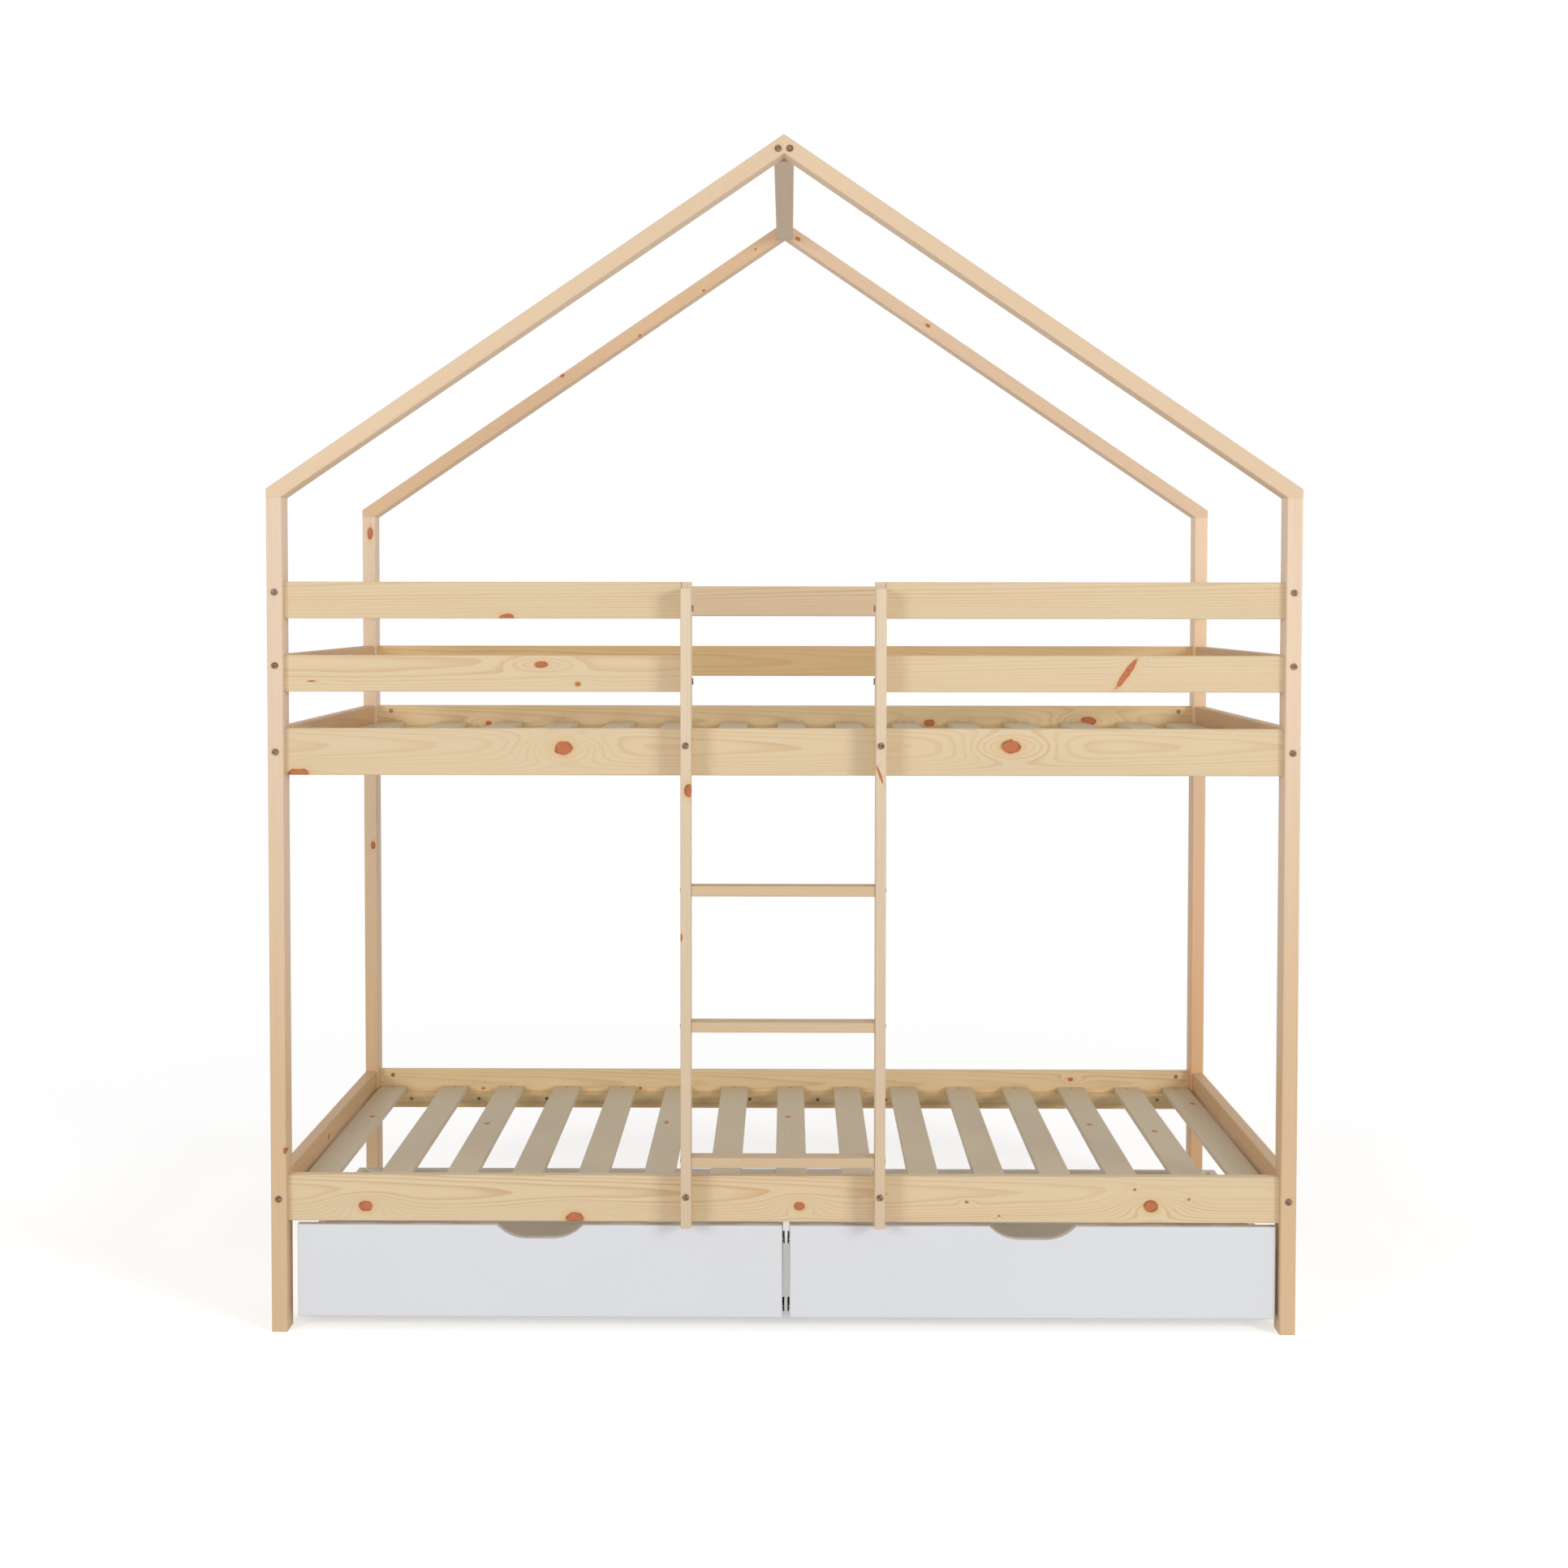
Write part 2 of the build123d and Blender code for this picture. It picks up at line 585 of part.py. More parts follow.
for side_name, side in sides.items():
    drawer = f"drawer_{side_name}"
    centre = drawer_shift + side * (drawer_width + drawer_gap) / 2
    left = centre - drawer_width / 2
    right = centre + drawer_width / 2
    castor_places = [
        (left - castor_overhang + castor_width / 2, left + castor_screw_edge),
        (right + castor_overhang - castor_width / 2, right - castor_screw_edge),
    ]
    drawer_screws = []
    for row_y in castor_rows.values():
        for castor_x, screw_x in castor_places:
            for shift in (-castor_screw_reach, castor_screw_reach):
                seat = Vector(screw_x, row_y + shift, wall_bottom - castor_plate_thick)
                wall = f"{drawer}_side_{'left' if castor_x < centre else 'right'}"
                bracket = f"{drawer}_castors"
                screw_joint(bracket, wall, castor_screw, seat, up, castor_plate_thick, 0, drawer_screws)
    for end_name, end in sides.items():
        for z in (wall_bottom + corner_screw_low, wall_top - corner_screw_drop):
            seat = Vector(centre + end * drawer_width / 2, drawer_back_y - drawer_wall_thick / 2, z)
            wall = f"{drawer}_side_{end_name}"
            back = f"{drawer}_back"
            sink = corner_screw.head_height
            way = east * -end
            screw_joint(wall, back, corner_screw, seat, way, drawer_wall_thick, sink, drawer_screws)

    # Front panel with a shallow curved finger grip in its top edge
    with BuildPart() as front:
        with BuildSketch(Plane.XZ.offset(-wall_front_y)):
            with Locations((centre, drawer_floor_gap + drawer_front_height / 2)):
                Rectangle(drawer_width, drawer_front_height)
            with Locations((centre, front_top - grip_depth + grip_full_height / 2)):
                RectangleRounded(grip_full_width, grip_full_height, grip_corner, mode=Mode.SUBTRACT)
        extrude(amount=drawer_front_thick)
        front_edges = front.faces().sort_by(Axis.Y)[0].edges()
        fillet(front_edges, front_round)
        with BuildSketch(Plane.XZ.offset(-wall_front_y)):
            with Locations((centre, bottom_z + drawer_bottom_thick / 2)):
                groove_width = drawer_width - 2 * (drawer_wall_thick - groove_depth)
                Rectangle(groove_width, drawer_bottom_thick + 2 * groove_play)
        extrude(amount=groove_depth, mode=Mode.SUBTRACT)
    finish(front.part, f"{drawer}_front")

    # Side walls, each grooved for the bottom panel
    for end_name, end in sides.items():
        node = f"{drawer}_side_{end_name}"
        outer = centre + end * drawer_width / 2
        inner = outer - end * drawer_wall_thick
        with BuildPart() as wall:
            with BuildSketch(Plane.XY.offset(wall_bottom)):
                with Locations(((outer + inner) / 2, (wall_front_y + drawer_back_y) / 2)):
                    Rectangle(drawer_wall_thick, drawer_back_y - wall_front_y)
            extrude(amount=drawer_wall_height)
            with BuildSketch(Plane.XY.offset(bottom_z - groove_play)):
                with Locations((inner + end * groove_depth / 2, (wall_front_y + drawer_back_y) / 2)):
                    Rectangle(groove_depth, drawer_back_y - wall_front_y)
            extrude(amount=drawer_bottom_thick + 2 * groove_play, mode=Mode.SUBTRACT)
            cut_bores(node)
        finish(wall.part, node)

    # Back wall between the side walls
    with BuildPart() as back:
        inner_width = drawer_width - 2 * drawer_wall_thick
        with BuildSketch(Plane.XY.offset(wall_bottom)):
            with Locations((centre, drawer_back_y - drawer_wall_thick / 2)):
                Rectangle(inner_width, drawer_wall_thick)
        extrude(amount=drawer_wall_height)
        with BuildSketch(Plane.XY.offset(bottom_z - groove_play)):
            with Locations((centre, drawer_back_y - drawer_wall_thick + groove_depth / 2)):
                Rectangle(inner_width, groove_depth)
        extrude(amount=drawer_bottom_thick + 2 * groove_play, mode=Mode.SUBTRACT)
        cut_bores(f"{drawer}_back")
    finish(back.part, f"{drawer}_back")

    # Bottom panel held in the grooves
    with BuildPart() as bottom:
        reach = groove_depth - groove_play
        front_y = wall_front_y - reach
        back_y = drawer_back_y - drawer_wall_thick + reach
        with BuildSketch(Plane.XY.offset(bottom_z)):
            with Locations((centre, (front_y + back_y) / 2)):
                Rectangle(inner_width + 2 * reach, back_y - front_y)
        extrude(amount=drawer_bottom_thick)
    finish(bottom.part, f"{drawer}_bottom")

    # Castor brackets: a plate under the side wall with two cheeks that hold the axle
    cheek_drop = wall_bottom - castor_plate_thick - wheel_radius
    with BuildPart() as castors:
        for row_y in castor_rows.values():
            for castor_x, screw_x in castor_places:
                with BuildSketch(Plane.XY.offset(wall_bottom - castor_plate_thick)):
                    with Locations((castor_x, row_y)):
                        Rectangle(castor_width, castor_plate_length)
                extrude(amount=castor_plate_thick)
                for end in sides.values():
                    outer_x = castor_x + end * castor_width / 2
                    with BuildSketch(Plane.YZ.offset(min(outer_x, outer_x - end * castor_cheek_thick))):
                        with BuildLine():
                            Polyline(
                                (row_y - wheel_radius, wheel_radius + cheek_drop),
                                (row_y - castor_cheek_foot, wheel_radius - castor_cheek_foot),
                                (row_y + castor_cheek_foot, wheel_radius - castor_cheek_foot),
                                (row_y + wheel_radius, wheel_radius + cheek_drop),
                                close=True,
                            )
                        make_face()
                        with Locations((row_y, wheel_radius)):
                            Circle(axle_radius + running_fit, mode=Mode.SUBTRACT)
                    extrude(amount=castor_cheek_thick)
        cut_bores(f"{drawer}_castors")
    finish(castors.part, f"{drawer}_castors")

    # Axles through the cheeks
    with BuildPart() as axles:
        for row_y in castor_rows.values():
            for castor_x, screw_x in castor_places:
                with BuildSketch(Plane.YZ.offset(castor_x - castor_width / 2)):
                    with Locations((row_y, wheel_radius)):
                        Circle(axle_radius)
                extrude(amount=castor_width)
    finish(axles.part, f"{drawer}_axles")

    # Wheels: the pair in each row turns on one line
    for row_name, row_y in castor_rows.items():
        with BuildPart() as wheels:
            for castor_x, screw_x in castor_places:
                with BuildSketch(Plane.YZ.offset(castor_x - wheel_width / 2)):
                    with Locations((row_y, wheel_radius)):
                        Circle(wheel_radius)
                extrude(amount=wheel_width)
            rims = wheels.edges().filter_by(GeomType.CIRCLE)
            fillet(rims, wheel_round)
            for castor_x, screw_x in castor_places:
                with BuildSketch(Plane.YZ.offset(castor_x - wheel_width / 2)):
                    with Locations((row_y, wheel_radius)):
                        Circle(axle_radius + running_fit)
                extrude(amount=wheel_width, mode=Mode.SUBTRACT)
        finish(wheels.part, f"{drawer}_wheels_{row_name}")

    make_screws(drawer_screws, f"{drawer}_screws")
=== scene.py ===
import math

import bpy
from mathutils import Matrix, Vector


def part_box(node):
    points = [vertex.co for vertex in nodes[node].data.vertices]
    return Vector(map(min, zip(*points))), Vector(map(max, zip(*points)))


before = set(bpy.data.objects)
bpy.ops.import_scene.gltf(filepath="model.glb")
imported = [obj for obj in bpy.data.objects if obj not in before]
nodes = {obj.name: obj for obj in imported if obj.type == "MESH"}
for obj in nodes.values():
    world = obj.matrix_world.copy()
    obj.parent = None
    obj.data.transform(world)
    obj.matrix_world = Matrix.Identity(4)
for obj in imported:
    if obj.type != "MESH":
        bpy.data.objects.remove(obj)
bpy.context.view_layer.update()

bpy.ops.object.select_all(action="DESELECT")
print("frame loaded:", len(nodes), "nodes")


# small helpers for colours and shader trees

def screen(red, green, blue):
    # a colour as seen on screen, 0 to 255, turned into the linear colour that a socket takes (sRGB curve)
    top, offset, power = 255, 0.055, 2.4
    linear = [((level / top + offset) / (1 + offset)) ** power for level in (red, green, blue)]
    return (*linear, 1.0)


def fill(tree, node, sockets):
    # links what is a socket and sets what is a plain value
    for name, value in sockets.items():
        if isinstance(value, bpy.types.NodeSocket):
            tree.links.new(value, node.inputs[name])
        else:
            node.inputs[name].default_value = value


def put(tree, kind, sockets=None, **settings):
    node = tree.nodes.new("ShaderNode" + kind)
    for name, value in settings.items():
        setattr(node, name, value)
    fill(tree, node, sockets or {})
    return node


def calc(tree, operation, *values):
    return put(tree, "Math", dict(enumerate(values)), operation=operation).outputs[0]


def squareSum(tree, first, second):
    return calc(tree, "ADD", calc(tree, "MULTIPLY", first, first), calc(tree, "MULTIPLY", second, second))


def sway(tree, noise, amount, middle=0.0):
    # noise from 0 to 1 swings the result round middle, by half of amount to each side
    return calc(tree, "MULTIPLY_ADD", calc(tree, "SUBTRACT", noise, 0.5), amount, middle)


def spread(tree, value, low, high, newLow=0.0, newHigh=1.0, curve="SMOOTHSTEP"):
    # maps low..high to newLow..newHigh and holds it there outside
    sockets = {"Value": value, "From Min": low, "From Max": high, "To Min": newLow, "To Max": newHigh}
    return put(tree, "MapRange", sockets, interpolation_type=curve).outputs[0]


def cloud(tree, vector, stretch, seed, detail=2.0):
    # noise with its own number of cells per metre on each axis: few along the grain, many across it
    stretched = put(tree, "VectorMath", {0: vector, 1: stretch}, operation="MULTIPLY").outputs[0]
    sockets = {"Vector": stretched, "W": seed, "Scale": 1.0, "Detail": detail, "Roughness": 0.5}
    return put(tree, "TexNoise", sockets, noise_dimensions="4D").outputs[0]


def blendColors(tree, factor, first, second, mode="MIX"):
    sockets = {0: factor, 6: first, 7: second}
    return put(tree, "Mix", sockets, data_type="RGBA", blend_type=mode).outputs[2]


def bumpNormal(tree, height, strength, distance):
    return put(tree, "Bump", {"Strength": strength, "Distance": distance, "Height": height}).outputs[0]


def newGroup(name, inputs, outputs):
    # inputs and outputs are {socket name: kind}
    tree = bpy.data.node_groups.new(name, "ShaderNodeTree")
    for way, sockets in (("INPUT", inputs), ("OUTPUT", outputs)):
        for socketName, kind in sockets.items():
            tree.interface.new_socket(socketName, in_out=way, socket_type="NodeSocket" + kind)
    return tree, tree.nodes.new("NodeGroupInput").outputs, tree.nodes.new("NodeGroupOutput")


def useGroup(tree, group, sockets):
    return put(tree, "Group", sockets, node_tree=group).outputs


def newMaterial(name):
    material = bpy.data.materials.new(name)
    material.use_nodes = True
    tree = material.node_tree
    return material, tree, tree.nodes["Principled BSDF"]


# planed pine close up; late is the dark part of a growth ring, which runs from 0 to 1
pineLook = {
    "sweepStretch": (1.1, 9.0, 9.0), "wobbleStretch": (9.0, 55.0, 55.0), "wobbleDepth": 0.0016,
    "lateFrom": 0.42, "lateFull": 0.92, "lateEdge": 0.93, "ringLeast": 0.4, "ringChance": 0.6,
    "lateRoughness": -0.05, "lateHeight": 0.5,
    "patchStretch": (2.2, 16.0, 16.0), "patchFrom": 0.25, "patchFull": 0.7, "patchLeast": 0.35,
    "fibreStretch": (4.0, 420.0, 420.0), "fibreShade": 0.09, "fibreRoughness": 0.14,
    "poreStretch": (45.0, 1100.0, 1100.0), "poreFrom": 0.66, "poreFull": 0.74,
    "poreShade": -0.035, "poreHeight": -0.5,
    "toneStretch": (0.9, 7.0, 7.0), "toneShade": 0.16,
    # painted contact shadow at the board ends: how far it reaches, how dark it gets, and a half length so long
    # that leaning boards get none
    "endShadowReach": 0.0016, "endShadowLevel": 0.72, "noEndShadowLength": 2.0,
    "roughness": 0.42, "specular": 0.35, "bumpStrength": 0.2, "bumpDistance": 0.0002,
    "seedStep": 3.7,
}

# knots; reach is 0 in the middle of a knot and 1 at its edge
knotLook = {
    "raggedStretch": (90.0, 90.0, 25.0), "ragged": 0.3, "narrowing": 30.0,
    "coreFull": 0.86, "coreEnd": 1.06,
    "rimFrom": 0.66, "rimFull": 0.98, "rimFade": 1.0, "rimEnd": 1.18,
    "brokenStretch": (70.0, 70.0, 12.0), "brokenFrom": 0.4, "brokenFull": 0.62, "brokenLeast": 0.2,
    "ringCount": 3.4, "ringFrom": 0.3, "ringTop": 0.5,
    "haloFull": 0.9, "haloEnd": 2.3,
    "nearAlong": 0.45, "nearFall": -0.28,
    "lensAlong": 0.16, "lensAcross": 0.4, "lensFall": -1.0, "lensShare": 0.55, "bulge": 1.15,
    "mottledStretch": (420.0, 420.0, 60.0), "mottledFrom": 0.3, "mottledFull": 0.75,
    "core": (208, 116, 66), "coreDark": (172, 80, 42), "coreRing": (150, 72, 42),
    "halo": (230, 180, 116), "rim": (110, 56, 34),
    "ringShare": 0.45, "haloShare": 0.42, "coreShare": 0.9, "rimShare": 0.7,
}
knotMarks = ("Core", "Rim", "Rings", "Halo")


# shared effects

def pineGrainGroup():
    # growth rings round a pith line behind the board's face, with fibres, pores and tone changes, and a
    # painted contact shadow that darkens the board towards its ends
    tree, given, result = newGroup(
        "pineGrain",
        {
            "Vector": "Vector", "Bulge": "Float", "Pith Across": "Float", "Pith Behind": "Float",
            "Taper": "Float", "Ring Gap": "Float", "Waviness": "Float", "Seed": "Float",
            "Half Length": "Float", "Early": "Color", "Late": "Color", "Contrast": "Float",
        },
        {"Color": "Color", "Roughness": "Float", "Height": "Float"},
    )
    look = pineLook
    vector, seed = given["Vector"], given["Seed"]
    place = put(tree, "SeparateXYZ", {0: vector}).outputs

    across = calc(tree, "SUBTRACT", place["Y"], given["Pith Across"])
    behind = calc(tree, "ADD", place["Z"], given["Pith Behind"])
    radius = calc(tree, "SQRT", squareSum(tree, across, behind))
    radius = calc(tree, "MULTIPLY_ADD", place["X"], given["Taper"], radius)
    sweep = cloud(tree, vector, look["sweepStretch"], seed, detail=1.5)
    wobble = cloud(tree, vector, look["wobbleStretch"], seed, detail=1.0)
    sweep = sway(tree, sweep, given["Waviness"])
    wobble = sway(tree, wobble, look["wobbleDepth"])
    for shift in (sweep, wobble, given["Bulge"]):
        radius = calc(tree, "ADD", radius, shift)

    rings = calc(tree, "DIVIDE", radius, given["Ring Gap"])
    inRing = calc(tree, "FRACT", rings)
    rising = spread(tree, inRing, look["lateFrom"], look["lateFull"])
    falling = spread(tree, inRing, look["lateEdge"], 1.0, 1.0, 0.0)
    late = calc(tree, "MULTIPLY", rising, falling)
    ringNumber = calc(tree, "ADD", calc(tree, "FLOOR", rings), seed)
    perRing = put(tree, "TexWhiteNoise", {"W": ringNumber}, noise_dimensions="1D").outputs["Value"]
    perRing = calc(tree, "MULTIPLY_ADD", perRing, look["ringChance"], look["ringLeast"])
    late = calc(tree, "MULTIPLY", late, perRing)
    patch = cloud(tree, vector, look["patchStretch"], seed)
    patch = spread(tree, patch, look["patchFrom"], look["patchFull"], look["patchLeast"], 1.0)
    late = calc(tree, "MULTIPLY", late, patch)

    fibre = cloud(tree, vector, look["fibreStretch"], seed)
    pores = cloud(tree, vector, look["poreStretch"], seed, detail=0.0)
    pores = spread(tree, pores, look["poreFrom"], look["poreFull"])
    tone = cloud(tree, vector, look["toneStretch"], seed)
    shade = sway(tree, fibre, look["fibreShade"], 1.0)
    shade = sway(tree, tone, look["toneShade"], shade)
    shade = calc(tree, "MULTIPLY_ADD", pores, look["poreShade"], shade)
    # painted shadow: the colour darkens near the board's ends, standing in for the contact shadow where boards
    # butt against posts and each other
    fromEnd = calc(tree, "SUBTRACT", given["Half Length"], calc(tree, "ABSOLUTE", place["X"]))
    shade = calc(tree, "MULTIPLY", shade, spread(tree, fromEnd, 0.0, look["endShadowReach"], look["endShadowLevel"], 1.0))

    color = blendColors(tree, calc(tree, "MULTIPLY", late, given["Contrast"]), given["Early"], given["Late"])
    color = put(tree, "HueSaturation", {"Value": shade, "Color": color}).outputs[0]
    rough = calc(tree, "MULTIPLY_ADD", fibre, look["fibreRoughness"], look["roughness"])
    rough = calc(tree, "MULTIPLY_ADD", late, look["lateRoughness"], rough)
    height = calc(tree, "MULTIPLY_ADD", late, look["lateHeight"], fibre)
    height = calc(tree, "MULTIPLY_ADD", pores, look["poreHeight"], height)
    fill(tree, result, {"Color": color, "Roughness": rough, "Height": height})
    return tree


def pineKnotGroup():
    # one branch through the board: a core, a broken dark rim, a halo, and growth rings that run round it
    marks = dict.fromkeys(("Bulge", *knotMarks), "Float")
    tree, given, result = newGroup(
        "pineKnot",
        {
            "Vector": "Vector", "Place": "Vector", "Face Height": "Float",
            "Half Length": "Float", "Half Width": "Float", "Tilt": "Float", **marks,
        },
        marks,
    )
    look = knotLook
    vector = given["Vector"]
    away = put(tree, "VectorMath", {0: vector, 1: given["Place"]}, operation="SUBTRACT").outputs[0]
    turned = put(tree, "VectorRotate", {"Vector": away, "Angle": given["Tilt"]}, rotation_type="Z_AXIS")
    place = put(tree, "SeparateXYZ", {0: turned.outputs[0]}).outputs
    along = calc(tree, "DIVIDE", place["X"], given["Half Length"])
    across = calc(tree, "DIVIDE", place["Y"], given["Half Width"])

    # a branch thins from the seen face towards the heart of the tree
    inside = calc(tree, "MAXIMUM", calc(tree, "SUBTRACT", given["Face Height"], place["Z"]), 0.0)
    narrow = calc(tree, "MULTIPLY_ADD", inside, look["narrowing"], 1.0)
    ragged = sway(tree, cloud(tree, vector, look["raggedStretch"], seed=3.0), look["ragged"])
    reach = calc(tree, "SQRT", squareSum(tree, along, across))
    reach = calc(tree, "MULTIPLY_ADD", reach, narrow, ragged)

    core = spread(tree, reach, look["coreFull"], look["coreEnd"], 1.0, 0.0)
    rimIn = spread(tree, reach, look["rimFrom"], look["rimFull"])
    rimOut = spread(tree, reach, look["rimFade"], look["rimEnd"], 1.0, 0.0)
    broken = cloud(tree, vector, look["brokenStretch"], seed=5.0, detail=1.0)
    broken = spread(tree, broken, look["brokenFrom"], look["brokenFull"], look["brokenLeast"], 1.0)
    rim = calc(tree, "MULTIPLY", calc(tree, "MULTIPLY", rimIn, rimOut), broken)
    ringEdge = calc(tree, "PINGPONG", calc(tree, "MULTIPLY", reach, look["ringCount"]), look["ringTop"])
    rings = calc(tree, "MULTIPLY", core, spread(tree, ringEdge, look["ringFrom"], look["ringTop"]))
    halo = spread(tree, reach, look["haloFull"], look["haloEnd"], 1.0, 0.0)

    near = squareSum(tree, calc(tree, "MULTIPLY", along, look["nearAlong"]), across)
    near = calc(tree, "EXPONENT", calc(tree, "MULTIPLY", near, look["nearFall"]))
    lensAlong = calc(tree, "MULTIPLY", along, look["lensAlong"])
    lensAcross = calc(tree, "MULTIPLY", across, look["lensAcross"])
    lens = calc(tree, "MULTIPLY", squareSum(tree, lensAlong, lensAcross), look["lensFall"])
    bulge = calc(tree, "MULTIPLY_ADD", calc(tree, "EXPONENT", lens), look["lensShare"], near)
    bulge = calc(tree, "MULTIPLY", calc(tree, "MULTIPLY", bulge, given["Half Width"]), look["bulge"])

    fill(tree, result, {"Bulge": calc(tree, "ADD", bulge, given["Bulge"])})
    for mark, mask in zip(knotMarks, (core, rim, rings, halo)):
        fill(tree, result, {mark: calc(tree, "MAXIMUM", mask, given[mark])})
    return tree


def knotColorGroup():
    # paints halo, core and rim over the plain wood
    tree, given, result = newGroup(
        "knotColor",
        {"Vector": "Vector", "Wood": "Color", **dict.fromkeys(knotMarks, "Float")},
        {"Color": "Color"},
    )
    look = knotLook
    mottled = cloud(tree, given["Vector"], look["mottledStretch"], seed=1.0, detail=3.0)
    mottled = spread(tree, mottled, look["mottledFrom"], look["mottledFull"])
    ringShare = calc(tree, "MULTIPLY", given["Rings"], look["ringShare"])
    haloShare = calc(tree, "MULTIPLY", given["Halo"], look["haloShare"])
    coreShare = calc(tree, "MULTIPLY", given["Core"], look["coreShare"])
    rimShare = calc(tree, "MULTIPLY", given["Rim"], look["rimShare"])
    core = blendColors(tree, mottled, screen(*look["core"]), screen(*look["coreDark"]))
    core = blendColors(tree, ringShare, core, screen(*look["coreRing"]))
    color = blendColors(tree, haloShare, given["Wood"], screen(*look["halo"]))
    color = blendColors(tree, coreShare, color, core)
    color = blendColors(tree, rimShare, color, screen(*look["rim"]))
    fill(tree, result, {"Color": color})
    return tree


def boardRowGroup():
    # boards that repeat across a node: each gets its own middle and number
    tree, given, result = newGroup(
        "boardRow",
        {"Vector": "Vector", "Start": "Float", "Pitch": "Float"},
        {"Vector": "Vector", "Number": "Float", "Chance": "Float"},
    )
    place = put(tree, "SeparateXYZ", {0: given["Vector"]}).outputs
    fromStart = calc(tree, "SUBTRACT", place["Y"], given["Start"])
    number = calc(tree, "ROUND", calc(tree, "DIVIDE", fromStart, given["Pitch"]))
    across = calc(tree, "SUBTRACT", fromStart, calc(tree, "MULTIPLY", number, given["Pitch"]))
    chance = put(tree, "TexWhiteNoise", {"W": number}, noise_dimensions="1D").outputs["Value"]
    moved = put(tree, "CombineXYZ", {"X": place["X"], "Y": across, "Z": place["Z"]}).outputs[0]
    fill(tree, result, {"Vector": moved, "Number": number, "Chance": chance})
    return tree


pineGrain = pineGrainGroup()
pineKnot = pineKnotGroup()
knotColor = knotColorGroup()
boardRow = boardRowGroup()
print("node groups ready")

# pine boards: how each family of boards was sawn and what tone its wood has
# grain runs along the board, face looks out of its seen side; the tint towards the floor is painted shade,
# darker and warmer lower down, standing in for light falling off and warm bounce from below
east = Vector((1, 0, 0))
north = Vector((0, 1, 0))
up = Vector((0, 0, 1))

railWood = {
    "grain": east, "face": -north,
    "early": (228, 205, 168), "late": (204, 164, 112), "contrast": 0.6,
    "across": 0.012, "behind": 0.05, "taper": 0.012, "gap": 0.0029, "wavy": 0.01,
}
guardWood = {**railWood, "across": 0.05, "behind": 0.07, "taper": 0.008, "gap": 0.003}
postWood = {
    "grain": up, "face": -north,
    "early": (239, 213, 186), "late": (214, 172, 132), "contrast": 0.45,
    "across": 0.09, "behind": 0.06, "taper": 0.006, "gap": 0.0034, "wavy": 0.005,
    "floorShadeTint": (0.86, 0.79, 0.65), "tintFrom": 0.35, "tintTo": 1.35,
}
ladderWood = {
    **postWood, "early": (232, 211, 183), "late": (212, 176, 130), "across": 0.05,
    "floorShadeTint": (0.9, 0.87, 0.84),
}
# a row is the place of its board number 0, or None for the node's middle, and the pitch
rungWood = {
    **ladderWood, "grain": east, "early": (219, 192, 156), "row": (None, 0.26),
    "floorShadeTint": (0.98, 0.98, 0.98),
}
# end boards are darker and warmer than the rails: partly their own wood, partly painted warm bounce light and
# shade on their inner faces
endWood = {**railWood, "grain": north, "face": east, "early": (221, 184, 142), "late": (198, 148, 100)}
slatWood = {
    "grain": north, "face": up,
    "early": (214, 198, 168), "late": (196, 170, 128), "contrast": 0.5,
    "across": 0.07, "behind": 0.05, "taper": 0.01, "gap": 0.0038, "wavy": 0.01,
    "row": (-0.016, 0.132),
    "chanceKnot": {"range": 1.9, "across": 0.006, "halfLong": 0.009, "halfWide": 0.006},
}
cleatWood = {**railWood, "early": (228, 202, 156), "across": 0.1, "gap": 0.0036}
ridgeWood = {**endWood, "face": -up, "early": (222, 200, 172), "across": 0.08}
rafterWood = {**postWood, "early": (233, 206, 173), "late": (212, 168, 126), "contrast": 0.5}
roof = {"rise": 0.637, "run": 0.94}
slope = math.atan2(roof["rise"], roof["run"])

